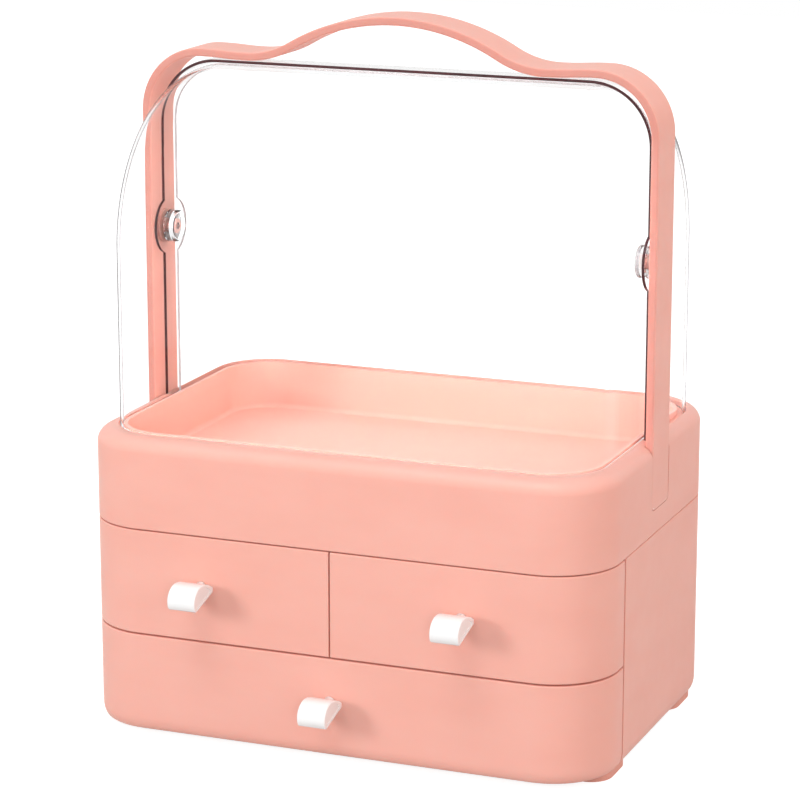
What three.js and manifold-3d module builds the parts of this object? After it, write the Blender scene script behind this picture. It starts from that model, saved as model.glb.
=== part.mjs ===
import * as THREE from 'three';
import { mergeVertices } from 'three/addons/utils/BufferGeometryUtils.js';
import Module from 'manifold-3d';

// A dustproof vanity box: a moulded cabinet with three drawers, a display tray on top of it,
// a clear cover in two nested half shells, and a strap handle that carries the cover's pivots.
// Sizes are in millimetres. X runs to the right, Y to the back and Z up.

const wasm = await Module();
wasm.setup();

// Body outline
const bodyWidth = 285;
const bodyDepth = 200;
const bodyCorner = 35;
const lowerBand = 52.3;
const upperBand = 56.4;
const trayBand = 48.2;
const baseRound = 2.8;
const seamRound = 0.7;
const seamGap = 0.9;
const wrapDepth = 42.5;

// Fits
const touchGap = 0.3;
const drawerFit = 0.8;
const overrun = 5;

// Cabinet
const cabinetWall = 2.8;
const floorThick = 2.5;
const shelfThick = 2.2;
const dividerThick = 2.4;
const deckThick = 2.2;

// Drawers
const panelWall = 3.3;
const drawerWall = 1.8;
const drawerFloor = 2;
const smallDrawerHeight = 43;
const largeDrawerHeight = 40;

// Knobs: heights of the crest, the nose and the lip are from the middle of the stem
const knobWidth = 15.2;
const knobReach = 24.5;
const knobCrest = 5.6;
const knobCrestReach = 15.5;
const knobNose = 2;
const knobLip = 6.5;
const knobLipBack = 3;
const knobNeck = 1.8;
const knobNeckHeight = 2.6;
const knobRound = 0.5;
const knobPanelRim = 1.5;
const knobPanelDepth = 0.5;
const stemRadius = 3;
const stemLength = 10;
const stemRise = 1.5;
const largeKnobRise = 1.7;

// Tray
const trayWall = 2.8;
const rimFillWidth = 9.4;
const rimFillHeight = 8;
const trayFloorDrop = 26;
const trayFloorThick = 2.2;
const compartmentWall = 2;
const ridgeThick = 2;
const ridgeGap = 0.5;
const frontSeatDepth = 1;
const rearSeatDepth = 3.3;
const seatSide = 0.4;
const swingRoom = 1.2;
const slotDrop = 35.5;
const slotWall = 1.8;
const postRadius = 4;
const postInsetX = 40;
const postInsetY = 30;

// Cover
const shellWall = 1.5;
const shellGap = 1.7;
const rearShellInset = 6.2;
const rearShellBack = 8.6;
const shellCorner = 33;
const pivotRise = 91.6;
const rearShellLap = 5;
const frontShellLap = 5;
const earRadius = 15;

// Handle
const strapWidth = 28;
const strapThick = 4.3;
const strapRound = 1.1;
const strapFootRound = 4;
const shoulderRise = 189.6;
const shoulderRadius = 34;
const humpRise = 22;
const humpRadius = 116;
const dipReach = 82;
const dipDrop = 1;

// Catches on the handle's ends
const catchWidth = 12;
const catchHeight = 6;
const catchDepth = 1.5;
const catchRise = 18;

// Pivots
const collarRadius = 9;
const stubRadius = 4;
const stubBore = 2;
const stubProud = 0.5;
const capRadius = 8.5;
const capThick = 2.6;
const capRound = 1.2;
const capStemLength = 5;

// Screws
const shankRadius = 1.3;
const headRadius = 2.8;
const headThick = 1.6;
const driveWidth = 0.7;
const driveDepth = 0.6;
const knobScrewLength = 12;
const trayScrewLength = 9;

// Feet
const footHeight = 4;
const footInset = 2.2;
const footSetBack = 23;
const footWidth = 24;
const footLength = 39;
const footRound = 0.8;

// How far a curve's handles reach towards its corner
const roundShare = 0.55;

// Facets
const cornerSteps = 5;
const filletSteps = 4;
const edgeSteps = 2;
const bendSteps = 4;
const footSteps = 5;
const drumSides = 60;
const rodSides = 20;
const smallRodSides = 10;

// Heights above the table
const baseZ = footHeight;
const lowSeamZ = baseZ + lowerBand;
const highSeamZ = lowSeamZ + upperBand;
const rimZ = highSeamZ + trayBand;
const pivotZ = rimZ + pivotRise;
const shoulderZ = rimZ + shoulderRise;
const skyZ = shoulderZ + humpRise + overrun;

// Levels and faces that several pieces share
const halfWidth = bodyWidth / 2;
const halfDepth = bodyDepth / 2;
const wrapY = wrapDepth - halfDepth;
const shelfZ = lowSeamZ - shelfThick / 2;
const deckTopZ = highSeamZ - touchGap / 2;
const deckZ = deckTopZ - deckThick;
const trayZ = highSeamZ + touchGap / 2;
const trayFloorZ = rimZ - trayFloorDrop;
const strapInnerX = halfWidth - strapThick;
const slotFloorX = strapInnerX - touchGap;
const slotBottomZ = rimZ - slotDrop;
const cheekX = slotFloorX - slotWall;
const drawerInset = panelWall + touchGap;

// Cover sections: half width, radius about the pivot axis, and corner
const rearShell = {
  half: halfWidth - rearShellInset,
  radius: halfDepth - rearShellBack,
  corner: shellCorner,
};
const frontShell = nested(rearShell, shellWall + shellGap);
const ridge = nested(frontShell, shellWall + ridgeGap);
const compartment = nested(ridge, ridgeThick);

// Finishes
const salmon = new THREE.MeshStandardMaterial({ color: 0xf5b5a6, roughness: 0.42, metalness: 0 });
const deepSalmon = new THREE.MeshStandardMaterial({ color: 0xd9826d, roughness: 0.7, metalness: 0 });
const white = new THREE.MeshStandardMaterial({ color: 0xfafafa, roughness: 0.3, metalness: 0 });
const clear = new THREE.MeshStandardMaterial({ color: 0xf4f6f8, roughness: 0.05, transparent: true, opacity: 0.3 });
const steel = new THREE.MeshStandardMaterial({ color: 0xb4b6ba, roughness: 0.35, metalness: 1 });

// Solids and meshes

function solid(geometry) {
  const bare = geometry.clone();
  bare.deleteAttribute('normal');
  bare.deleteAttribute('uv');
  const merged = mergeVertices(bare);
  return new wasm.Manifold(new wasm.Mesh({
    numProp: 3,
    vertProperties: Float32Array.from(merged.attributes.position.array),
    triVerts: Uint32Array.from(merged.index.array),
  }));
}

function mesh(name, body, material) {
  const data = body.getMesh();
  const geometry = new THREE.BufferGeometry();
  geometry.setAttribute('position', new THREE.BufferAttribute(Float32Array.from(data.vertProperties), 3));
  geometry.setIndex(new THREE.BufferAttribute(Uint32Array.from(data.triVerts), 1));
  geometry.computeVertexNormals();
  const made = new THREE.Mesh(geometry, material);
  made.name = name;
  return made;
}

function block([x0, x1], [y0, y1], [z0, z1]) {
  const geometry = new THREE.BoxGeometry(x1 - x0, y1 - y0, z1 - z0);
  return solid(geometry.translate((x0 + x1) / 2, (y0 + y1) / 2, (z0 + z1) / 2));
}

function rod(radius, from, to, sides = rodSides) {
  const start = new THREE.Vector3(...from);
  const along = new THREE.Vector3(...to).sub(start);
  const geometry = new THREE.CylinderGeometry(radius, radius, along.length(), sides);
  const middle = start.addScaledVector(along, 1 / 2);
  geometry.applyQuaternion(new THREE.Quaternion().setFromUnitVectors(THREE.Object3D.DEFAULT_UP, along.normalize()));
  return solid(geometry.translate(middle.x, middle.y, middle.z));
}

function prism(shape, z0, z1) {
  const options = { depth: z1 - z0, bevelEnabled: false, curveSegments: cornerSteps };
  return solid(new THREE.ExtrudeGeometry(shape, options).translate(0, 0, z0));
}

// A shape extruded to a width centred on its own plane, with its two edges rounded
function plate(shape, width, round, steps = bendSteps) {
  const options = {
    depth: width - round * 2,
    bevelEnabled: round > 0,
    bevelThickness: round,
    bevelSize: round,
    bevelOffset: -round,
    bevelSegments: edgeSteps,
    curveSegments: steps,
  };
  return new THREE.ExtrudeGeometry(shape, options).translate(0, 0, round - width / 2);
}

// Front view, drawn as X and Z, with its width along Y
function frontProfile(shape, width, round) {
  return solid(plate(shape, width, round).rotateX(Math.PI / 2));
}

// Side view, drawn as Y and Z, with its width along X
function sideProfile(shape, width, round) {
  return solid(plate(shape, width, round).rotateX(Math.PI / 2).rotateZ(Math.PI / 2));
}

// Outlines in plan

function roundedRectangle(halfX, halfY, radius) {
  const shape = new THREE.Shape();
  shape.absarc(halfX - radius, halfY - radius, radius, 0, Math.PI / 2);
  shape.absarc(radius - halfX, halfY - radius, radius, Math.PI / 2, Math.PI);
  shape.absarc(radius - halfX, radius - halfY, radius, Math.PI, Math.PI * 3 / 2);
  shape.absarc(halfX - radius, radius - halfY, radius, Math.PI * 3 / 2, Math.PI * 2);
  shape.closePath();
  return shape;
}

function bodyOutline(inset) {
  return roundedRectangle(halfWidth - inset, halfDepth - inset, bodyCorner - inset);
}

function nested(size, step) {
  return { half: size.half - step, radius: size.radius - step, corner: size.corner - step };
}

function shellOutline(size) {
  return roundedRectangle(size.half, size.radius, size.corner);
}

function outlinePoints(shape) {
  return shape.getPoints(cornerSteps).slice(0, -1);
}

// The body outline lofted through levels of [inset, z], lowest first
function bodyLoft(levels) {
  const rings = levels.map(([inset]) => outlinePoints(bodyOutline(inset)));
  const count = rings[0].length;
  const positions = [];
  rings.forEach((ring, level) => ring.forEach((p) => positions.push(p.x, p.y, levels[level][1])));
  const faces = [];
  for (let level = 0; level < rings.length - 1; level++) {
    for (let i = 0; i < count; i++) {
      const a = level * count + i;
      const b = level * count + (i + 1) % count;
      faces.push(a, b, b + count, a, b + count, a + count);
    }
  }
  const top = (rings.length - 1) * count;
  for (let i = 1; i < count - 1; i++) {
    faces.push(0, i + 1, i, top, top + i, top + i + 1);
  }
  const geometry = new THREE.BufferGeometry();
  geometry.setAttribute('position', new THREE.Float32BufferAttribute(positions, 3));
  geometry.setIndex(faces);
  return solid(geometry);
}

// Levels of an edge rounded inwards up to z, as a quarter of an ellipse
function topEdge(z, width, height, steps) {
  const levels = [];
  for (let i = 0; i <= steps; i++) {
    const turn = (i / steps) * Math.PI / 2;
    levels.push([width * (1 - Math.cos(turn)), z - height * (1 - Math.sin(turn))]);
  }
  return levels;
}

function bottomEdge(z, round, steps) {
  return topEdge(-z, round, round, steps).map(([inset, level]) => [inset, -level]).reverse();
}

// A band of the body's outside between two seams, or from the rounded base up
function bodyBand([z0, z1]) {
  const low = z0 > baseZ ? bottomEdge(z0, seamRound, edgeSteps) : bottomEdge(z0, baseRound, filletSteps);
  return bodyLoft([...low, ...topEdge(z1, seamRound, seamRound, edgeSteps)]);
}

// All that lies on one side of the middle, a gap away from it, or everything where side is 0
function sideRegion(side, gap) {
  const x0 = side > 0 ? gap : -bodyWidth;
  const x1 = side < 0 ? -gap : bodyWidth;
  return block([x0, x1], [-bodyDepth, bodyDepth], [0, skyZ]);
}

// Screw along +Z from the outer face of its head, which carries a crossed drive
function makeScrew(name, length) {
  const head = rod(headRadius, [0, 0, 0], [0, 0, headThick], smallRodSides);
  const shank = rod(shankRadius, [0, 0, driveDepth], [0, 0, headThick + length], smallRodSides);
  const reach = [-headRadius - overrun, headRadius + overrun];
  const half = [-driveWidth / 2, driveWidth / 2];
  const depth = [-overrun, driveDepth];
  const drive = block(reach, half, depth).add(block(half, reach, depth));
  return mesh(name, head.add(shank).subtract(drive), steel);
}

// Places of the posts that the tray is screwed down by
const postX = halfWidth - postInsetX;
const postY = halfDepth - postInsetY;
const posts = {
  front_left: [-postX, -postY],
  front_right: [postX, -postY],
  rear_left: [-postX, postY],
  rear_right: [postX, postY],
};

// Cabinet: walls, floor, shelf, divider and deck in one moulding that is open at the front
function makeCabinet() {
  const behindWrap = block([-bodyWidth, bodyWidth], [wrapY + seamGap, bodyDepth], [0, skyZ]);
  const walls = bodyBand([baseZ, deckTopZ]).intersect(behindWrap);
  const core = prism(bodyOutline(drawerInset), baseZ, deckTopZ);
  const bay = bodyOutline(cabinetWall);
  const lowBay = prism(bay, baseZ + floorThick, shelfZ);
  const divider = block([-dividerThick / 2, dividerThick / 2], [-bodyDepth, bodyDepth], [shelfZ, deckTopZ]);
  const highBays = prism(bay, shelfZ + shelfThick, deckZ).subtract(divider);
  let cabinet = walls.add(core).subtract(lowBay).subtract(highBays);
  for (const [x, y] of Object.values(posts)) {
    const hole = rod(shankRadius + touchGap, [x, y, deckZ - overrun], [x, y, skyZ], smallRodSides);
    cabinet = cabinet.subtract(hole);
  }
  return mesh('cabinet', cabinet, salmon);
}

// A bar across the body with its foot's corners rounded: the handle's two ends, or their slots
function footBar(half, z0) {
  const round = strapFootRound;
  const shape = new THREE.Shape();
  shape.moveTo(half, skyZ);
  shape.lineTo(-half, skyZ);
  shape.absarc(round - half, z0 + round, round, Math.PI, Math.PI * 3 / 2);
  shape.absarc(half - round, z0 + round, round, Math.PI * 3 / 2, Math.PI * 2);
  shape.closePath();
  return sideProfile(shape, bodyWidth + overrun * 2, 0);
}

// A catch's front view on the right-hand side, grown by a gap to make the window that it clicks into
function catchShape(gap) {
  const ledgeZ = slotBottomZ + catchRise;
  const shape = new THREE.Shape();
  shape.moveTo(strapInnerX + strapThick / 2, ledgeZ + gap);
  shape.lineTo(strapInnerX - catchDepth - gap, ledgeZ + gap);
  shape.lineTo(strapInnerX - catchDepth - gap, ledgeZ - catchHeight / 3 - gap);
  shape.lineTo(strapInnerX, ledgeZ - catchHeight - gap);
  shape.lineTo(strapInnerX + strapThick / 2, ledgeZ - catchHeight - gap);
  shape.closePath();
  return shape;
}

function catches(gap) {
  const right = frontProfile(catchShape(gap), catchWidth + gap * 2, 0);
  return right.add(right.mirror([1, 0, 0]));
}

// Where the two halves of the cover stand on the tray, outside the ridge that keeps dust out
function seats() {
  const topZ = rimZ + overrun;
  const jogY = -rearShellLap - seatSide;
  const across = [-bodyWidth, bodyWidth];
  const frontHalf = block(across, [-bodyDepth, jogY], [0, topZ]);
  const rearHalf = block(across, [jogY, bodyDepth], [0, topZ]);
  const frontSize = nested(frontShell, -seatSide);
  const sweptSize = { ...frontSize, radius: frontSize.radius + swingRoom };
  const frontSeat = prism(shellOutline(sweptSize), rimZ - frontSeatDepth, topZ).intersect(frontHalf);
  const rearSeat = prism(shellOutline(nested(rearShell, -seatSide)), rimZ - rearSeatDepth, topZ).intersect(rearHalf);
  return frontSeat.add(rearSeat).subtract(prism(shellOutline(ridge), 0, topZ));
}

// The tray's open underside, between its outer wall and the compartment and below the floor
function trayHollow() {
  const inside = bodyOutline(trayWall);
  const aroundCompartment = prism(shellOutline(nested(compartment, -compartmentWall)), 0, skyZ);
  let hollow = prism(inside, 0, rimZ - rimFillHeight).subtract(aroundCompartment);
  hollow = hollow.add(prism(inside, 0, trayFloorZ - trayFloorThick));
  const cheekHalf = strapWidth / 2 + touchGap + slotWall;
  const cheeks = block([-bodyWidth, bodyWidth], [-cheekHalf, cheekHalf], [slotBottomZ - slotWall, skyZ])
    .subtract(block([-cheekX, cheekX], [-bodyDepth, bodyDepth], [0, skyZ]));
  hollow = hollow.subtract(cheeks);
  for (const [x, y] of Object.values(posts)) {
    const hole = rod(shankRadius + touchGap / 2, [x, y, 0], [x, y, trayZ + trayScrewLength], smallRodSides);
    hollow = hollow.subtract(rod(postRadius, [x, y, trayZ], [x, y, trayFloorZ])).add(hole);
  }
  return hollow;
}

// Tray: a hollow moulding with a filleted rim, the cover's seats and the display compartment
function makeTray() {
  const moulding = bodyLoft([
    ...bottomEdge(trayZ, seamRound, edgeSteps),
    ...topEdge(rimZ, rimFillWidth, rimFillHeight, filletSteps),
  ]);
  const slots = footBar(strapWidth / 2 + touchGap, slotBottomZ)
    .subtract(block([-slotFloorX, slotFloorX], [-bodyDepth, bodyDepth], [0, skyZ]));
  const tray = moulding
    .subtract(seats())
    .subtract(prism(shellOutline(compartment), trayFloorZ, skyZ))
    .subtract(trayHollow())
    .subtract(slots)
    .subtract(catches(touchGap));
  return mesh('top_tray', tray, salmon);
}

// Solid form of a cover: its plan carried straight up to the pivots, then turned about their axis
function coverForm(size, z0) {
  const outline = shellOutline(size);
  const rim = outlinePoints(outline).filter((p) => p.y > 0).map((p) => new THREE.Vector2(p.y, p.x));
  const profile = [new THREE.Vector2(0, size.half), ...rim, new THREE.Vector2(0, -size.half)].reverse();
  const drum = new THREE.LatheGeometry(profile, drumSides).rotateZ(-Math.PI / 2).translate(0, 0, pivotZ);
  const above = block([-bodyWidth, bodyWidth], [-bodyDepth, bodyDepth], [pivotZ, skyZ]);
  return solid(drum).intersect(above).add(prism(outline, z0, pivotZ));
}

// A half of the cover keeps what lies inside its limits in Y, and a round ear about the pivot
function makeCover(name, size, z0, limits) {
  const shell = coverForm(size, z0).subtract(coverForm(nested(size, shellWall), z0 - overrun));
  const half = block([-bodyWidth, bodyWidth], limits, [0, skyZ]);
  const ear = rod(earRadius, [-bodyWidth, 0, pivotZ], [bodyWidth, 0, pivotZ]);
  const hole = rod(stubRadius + touchGap, [-bodyWidth, 0, pivotZ], [bodyWidth, 0, pivotZ]);
  return mesh(name, shell.intersect(half.add(ear)).subtract(hole), clear);
}

// Outer line of the handle: an upright, a shoulder, a dip, the hand's hump, and the same again
function strapLine(z0) {
  const dipZ = shoulderZ - dipDrop;
  const turn = Math.atan(humpRise / dipReach) * 2;
  const dipRadius = dipReach / Math.sin(turn) - humpRadius;
  const shoulderX = halfWidth - shoulderRadius;
  const easeX = (shoulderX + dipReach) / 2;
  const path = new THREE.Path();
  path.moveTo(halfWidth, z0);
  path.lineTo(halfWidth, shoulderZ - shoulderRadius);
  path.absarc(shoulderX, shoulderZ - shoulderRadius, shoulderRadius, 0, Math.PI / 2);
  path.bezierCurveTo(easeX, shoulderZ, easeX, dipZ, dipReach, dipZ);
  path.absarc(dipReach, dipZ + dipRadius, dipRadius, -Math.PI / 2, -Math.PI / 2 - turn, true);
  path.absarc(0, dipZ + humpRise - humpRadius, humpRadius, Math.PI / 2 - turn, Math.PI / 2 + turn);
  path.absarc(-dipReach, dipZ + dipRadius, dipRadius, turn - Math.PI / 2, -Math.PI / 2, true);
  path.bezierCurveTo(-easeX, dipZ, -easeX, shoulderZ, -shoulderX, shoulderZ);
  path.absarc(-shoulderX, shoulderZ - shoulderRadius, shoulderRadius, Math.PI / 2, Math.PI);
  path.lineTo(-halfWidth, z0);
  return path.getPoints(bendSteps);
}

// The same line moved to the left of its direction of travel, which is inwards
function offsetLine(points, distance) {
  return points.map((p, i) => {
    const before = points[Math.max(i - 1, 0)];
    const after = points[Math.min(i + 1, points.length - 1)];
    const along = after.clone().sub(before).normalize();
    return new THREE.Vector2(p.x - along.y * distance, p.y + along.x * distance);
  });
}

// Handle: the strap with its catches, and a collar and hollow stub on each side for the cover
function makeHandle() {
  const z0 = slotBottomZ + touchGap;
  const outer = strapLine(z0);
  const shape = new THREE.Shape([...outer, ...offsetLine(outer, strapThick).reverse()]);
  let handle = frontProfile(shape, strapWidth, strapRound).intersect(footBar(strapWidth / 2, z0)).add(catches(0));
  const collarX = rearShell.half + touchGap;
  const stubX = frontShell.half - shellWall - stubProud;
  for (const side of [-1, 1]) {
    const at = (x) => [side * x, 0, pivotZ];
    const rootX = strapInnerX + strapThick / 2;
    const bore = rod(stubBore, at(stubX - overrun), at(stubX + capStemLength + touchGap), smallRodSides);
    handle = handle.add(rod(collarRadius, at(collarX), at(rootX))).add(rod(stubRadius, at(stubX), at(rootX)));
    handle = handle.subtract(bore);
  }
  return mesh('handle', handle, salmon);
}

// Snap cap: a shallow dome with a stem, along +X from the dome's face
function makePivotCap(name) {
  const stem = stubBore - touchGap;
  const profile = new THREE.Path();
  profile.moveTo(0, 0);
  profile.lineTo(capRadius - capRound, 0);
  profile.absarc(capRadius - capRound, capRound, capRound, -Math.PI / 2, 0);
  profile.lineTo(capRadius, capThick);
  profile.lineTo(stem, capThick);
  profile.lineTo(stem, capThick + capStemLength);
  profile.lineTo(0, capThick + capStemLength);
  const cap = new THREE.LatheGeometry(profile.getPoints(edgeSteps), rodSides).rotateZ(-Math.PI / 2);
  return mesh(name, solid(cap), clear);
}

// Ring that keeps the two halves of the cover apart on the stub, along +X from x = 0
function makePivotWasher(name) {
  const thick = shellGap - touchGap * 2;
  const hole = rod(stubRadius + touchGap, [-overrun, 0, 0], [overrun, 0, 0]);
  return mesh(name, rod(capRadius, [0, 0, 0], [thick, 0, 0]).subtract(hole), clear);
}

// Drawers by name: their side of the middle, their front's band in Z, their bay's floor and depth
const smallBand = [lowSeamZ + seamGap / 2, highSeamZ - seamGap / 2];
const smallBayZ = shelfZ + shelfThick;
const drawers = {
  left: { side: -1, band: smallBand, bayZ: smallBayZ, height: smallDrawerHeight, knobRise: 0 },
  right: { side: 1, band: smallBand, bayZ: smallBayZ, height: smallDrawerHeight, knobRise: 0 },
  large: {
    side: 0,
    band: [baseZ, lowSeamZ - seamGap / 2],
    bayZ: baseZ + floorThick,
    height: largeDrawerHeight,
    knobRise: largeKnobRise,
  },
};

// Where a drawer's knob meets its front, on the middle of the knob's stem
function knobPlace({ side, band: [z0, z1], knobRise }) {
  return [side * halfWidth / 2, -halfDepth, (z0 + z1) / 2 + knobRise + stemRise];
}

function knobHole(drawer) {
  const [x, y, z] = knobPlace(drawer);
  return rod(shankRadius + touchGap, [x, y - overrun, z], [x, y + knobScrewLength, z], smallRodSides);
}

function makeDrawerBox(name, drawer) {
  const z0 = drawer.bayZ + touchGap;
  const gap = dividerThick / 2 + drawerFit;
  const outside = prism(bodyOutline(drawerInset), z0, z0 + drawer.height).intersect(sideRegion(drawer.side, gap));
  const inside = prism(bodyOutline(drawerInset + drawerWall), z0 + drawerFloor, skyZ)
    .intersect(sideRegion(drawer.side, gap + drawerWall));
  return mesh(name, outside.subtract(inside).subtract(knobHole(drawer)), salmon);
}

// A drawer's front wraps round the body's corners as far as the side seam
function makeDrawerFront(name, drawer) {
  const wrap = block([-bodyWidth, bodyWidth], [-bodyDepth, wrapY], [0, skyZ]);
  const front = bodyBand(drawer.band)
    .subtract(prism(bodyOutline(panelWall), 0, skyZ))
    .intersect(wrap)
    .intersect(sideRegion(drawer.side, seamGap / 2))
    .subtract(knobHole(drawer));
  return mesh(name, front, salmon);
}

// Side view of the knob's grip, or of the panel sunk in its sides: neck, crest, nose and lip
function gripShape(inset) {
  const neckY = -knobNeck - inset * 2;
  const neckHalf = knobNeckHeight / 2 - Math.min(inset, knobNeckHeight / 4);
  const crestY = -knobCrestReach;
  const crest = knobCrest - inset;
  const noseY = inset - knobReach;
  const lipY = inset - knobReach + knobLipBack;
  const lip = inset - knobLip;
  const towards = (from, to) => from + (to - from) * roundShare;
  const shape = new THREE.Shape();
  shape.moveTo(neckY, -neckHalf);
  shape.lineTo(neckY, neckHalf);
  shape.quadraticCurveTo((neckY + crestY) / 2, crest, crestY, crest);
  shape.bezierCurveTo(towards(crestY, noseY), crest, noseY, towards(-knobNose, crest), noseY, -knobNose);
  shape.bezierCurveTo(noseY, towards(-knobNose, lip), towards(lipY, noseY), lip, lipY, lip);
  shape.closePath();
  return shape;
}

// Knob: its place is where the middle of its stem meets the drawer's front
function makeKnob(name) {
  const boreEnd = drawerInset + drawerWall - knobScrewLength;
  const stem = rod(stemRadius, [0, -touchGap, 0], [0, -stemLength, 0], smallRodSides);
  const panel = sideProfile(gripShape(knobPanelRim), knobWidth + overrun, 0);
  const core = sideProfile(gripShape(0), knobWidth - knobPanelDepth * 2, 0);
  const knob = sideProfile(gripShape(0), knobWidth, knobRound)
    .subtract(panel.subtract(core))
    .add(stem)
    .subtract(rod(shankRadius + touchGap / 2, [0, overrun, 0], [0, boreEnd, 0], smallRodSides));
  return mesh(name, knob, white);
}

// Foot: a pad that runs along a side of the body, its two ends round
function makeFoot(name) {
  const half = footWidth / 2;
  const reach = footLength / 2 - half;
  const shape = new THREE.Shape();
  shape.absarc(0, reach, half, 0, Math.PI);
  shape.absarc(0, -reach, half, Math.PI, Math.PI * 2);
  shape.closePath();
  const depth = footHeight - touchGap;
  return mesh(name, solid(plate(shape, depth, footRound, footSteps).translate(0, 0, depth / 2)), deepSalmon);
}

// Assembly

function placed(made, [x, y, z], turn = {}) {
  made.position.set(x, y, z);
  made.rotation.set(turn.x ?? 0, turn.y ?? 0, turn.z ?? 0);
  return made;
}

function drawerGroup(name, drawer) {
  const group = new THREE.Group();
  const [x, y, z] = knobPlace(drawer);
  const screwY = y + drawerInset + drawerWall + touchGap + headThick;
  group.add(makeDrawerBox(`drawer_${name}`, drawer));
  group.add(makeDrawerFront(`drawer_front_${name}`, drawer));
  group.add(placed(makeKnob(`knob_${name}`), [x, y, z]));
  group.add(placed(makeScrew(`knob_screw_${name}`, knobScrewLength), [x, screwY, z], { x: Math.PI / 2 }));
  return group;
}

function cabinetGroup() {
  const group = new THREE.Group();
  const x = halfWidth - footInset - footWidth / 2;
  const y = halfDepth - footSetBack - footLength / 2;
  group.add(makeCabinet());
  group.add(placed(makeFoot('foot_rear_right'), [x, y, 0]));
  group.add(placed(makeFoot('foot_rear_left'), [-x, y, 0]));
  group.add(placed(makeFoot('foot_front_left'), [-x, -y, 0]));
  group.add(placed(makeFoot('foot_front_right'), [x, -y, 0]));
  return group;
}

function trayGroup() {
  const group = new THREE.Group();
  group.add(makeTray());
  for (const [name, [x, y]] of Object.entries(posts)) {
    const screw = makeScrew(`tray_screw_${name}`, trayScrewLength);
    group.add(placed(screw, [x, y, deckZ - touchGap - headThick]));
  }
  return group;
}

function coverGroup() {
  const group = new THREE.Group();
  const frontZ = rimZ - frontSeatDepth + touchGap;
  const rearZ = rimZ - rearSeatDepth + touchGap;
  const capX = frontShell.half - shellWall - stubProud - touchGap - capThick;
  const washerX = frontShell.half + touchGap;
  group.add(makeHandle());
  group.add(makeCover('front_cover', frontShell, frontZ, [-bodyDepth, frontShellLap]));
  group.add(makeCover('rear_cover', rearShell, rearZ, [-rearShellLap, bodyDepth]));
  for (const [name, side] of [['left', -1], ['right', 1]]) {
    const turn = { z: side > 0 ? 0 : Math.PI };
    group.add(placed(makePivotCap(`pivot_cap_${name}`), [side * capX, 0, pivotZ], turn));
    group.add(placed(makePivotWasher(`pivot_washer_${name}`), [side * washerX, 0, pivotZ], turn));
  }
  return group;
}

// The origin is on the table, under the middle of the whole box, knobs included
const organizer = new THREE.Group();
organizer.position.y = knobReach / 2;
organizer.add(cabinetGroup(), trayGroup(), coverGroup());
for (const [name, drawer] of Object.entries(drawers)) {
  organizer.add(drawerGroup(name, drawer));
}

export default organizer;
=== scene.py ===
from math import atan, cos, hypot, pi, radians, sin, sqrt

import bmesh
import bpy
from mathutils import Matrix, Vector


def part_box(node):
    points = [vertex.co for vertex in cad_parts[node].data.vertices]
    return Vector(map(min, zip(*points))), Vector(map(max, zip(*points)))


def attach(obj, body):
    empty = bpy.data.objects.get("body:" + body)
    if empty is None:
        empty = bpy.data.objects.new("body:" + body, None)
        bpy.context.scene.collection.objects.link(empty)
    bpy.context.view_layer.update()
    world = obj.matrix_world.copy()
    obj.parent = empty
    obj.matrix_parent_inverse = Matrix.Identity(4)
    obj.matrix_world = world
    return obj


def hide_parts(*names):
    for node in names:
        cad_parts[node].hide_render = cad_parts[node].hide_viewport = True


# A dustproof vanity box: a moulded cabinet with three drawers, a display tray, a clear cover in two
# nested half shells and a strap handle. Sizes are in metres, and most places come from the frame.

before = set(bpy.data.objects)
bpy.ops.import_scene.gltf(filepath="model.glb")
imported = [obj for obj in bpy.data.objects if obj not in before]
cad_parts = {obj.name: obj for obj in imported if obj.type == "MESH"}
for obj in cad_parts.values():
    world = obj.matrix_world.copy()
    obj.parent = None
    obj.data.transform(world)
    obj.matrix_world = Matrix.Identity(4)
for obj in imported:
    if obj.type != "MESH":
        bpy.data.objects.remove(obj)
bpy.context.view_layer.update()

MM = 0.001

# Camera
CAMERA_PLACE = Vector((0.59735, -1.48428, 0.56854))
CAMERA_PITCH = 0.24347
CAMERA_YAW = 0.38061
CAMERA_LENS = 141.79
CAMERA_SENSOR = 36

# Floor and lamps
FLOOR_SIZE = 6
FLOOR_SHADE = (0.45, 0.45, 0.45)
FLOOR_GLOW = 0.86
WORLD_SHADE = (1, 1, 1, 1)
AMBIENT = 0.64
AIM_Z = 0.17

# Body, from the tray's and the fronts' places
tray_low, tray_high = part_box("top_tray")
small_low, small_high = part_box("drawer_front_right")
large_low, large_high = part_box("drawer_front_large")
HALF_WIDTH = tray_high.x
MIDDLE_Y = (tray_low.y + tray_high.y) / 2
HALF_DEPTH = tray_high.y - MIDDLE_Y
RIM_Z = tray_high.z
TRAY_Z = tray_low.z
BASE_Z = large_low.z
WRAP_Y = small_high.y
BODY_CORNER = 35 * MM
BASE_FILL_WIDTH = 2.6 * MM
BASE_FILL_HEIGHT = 7 * MM
SEAM_ROUND = 0.7 * MM
SEAM_GAP = 0.9 * MM
SIDE_SEAM_GAP = 2 * MM

# Cabinet
CABINET_WALL = 2.8 * MM
FLOOR_THICK = 2.5 * MM
SHELF_THICK = 2.2 * MM
DECK_THICK = 2.2 * MM
DIVIDER_THICK = 2.4 * MM
PANEL_WALL = 3.3 * MM
DRAWER_INSET = 3.6 * MM
MOULDED_EDGE = 0.35 * MM
DECK_TOP_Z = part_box("cabinet")[1].z
SHELF_Z = (small_low.z + large_high.z - SHELF_THICK) / 2

# Drawer boxes
DRAWER_WALL = 1.8 * MM
DRAWER_FLOOR = 2 * MM
DRAWER_ROUND = 1.6 * MM
LIP_ROUND = 0.5 * MM
DRILL_RADIUS = 1.6 * MM

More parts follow.
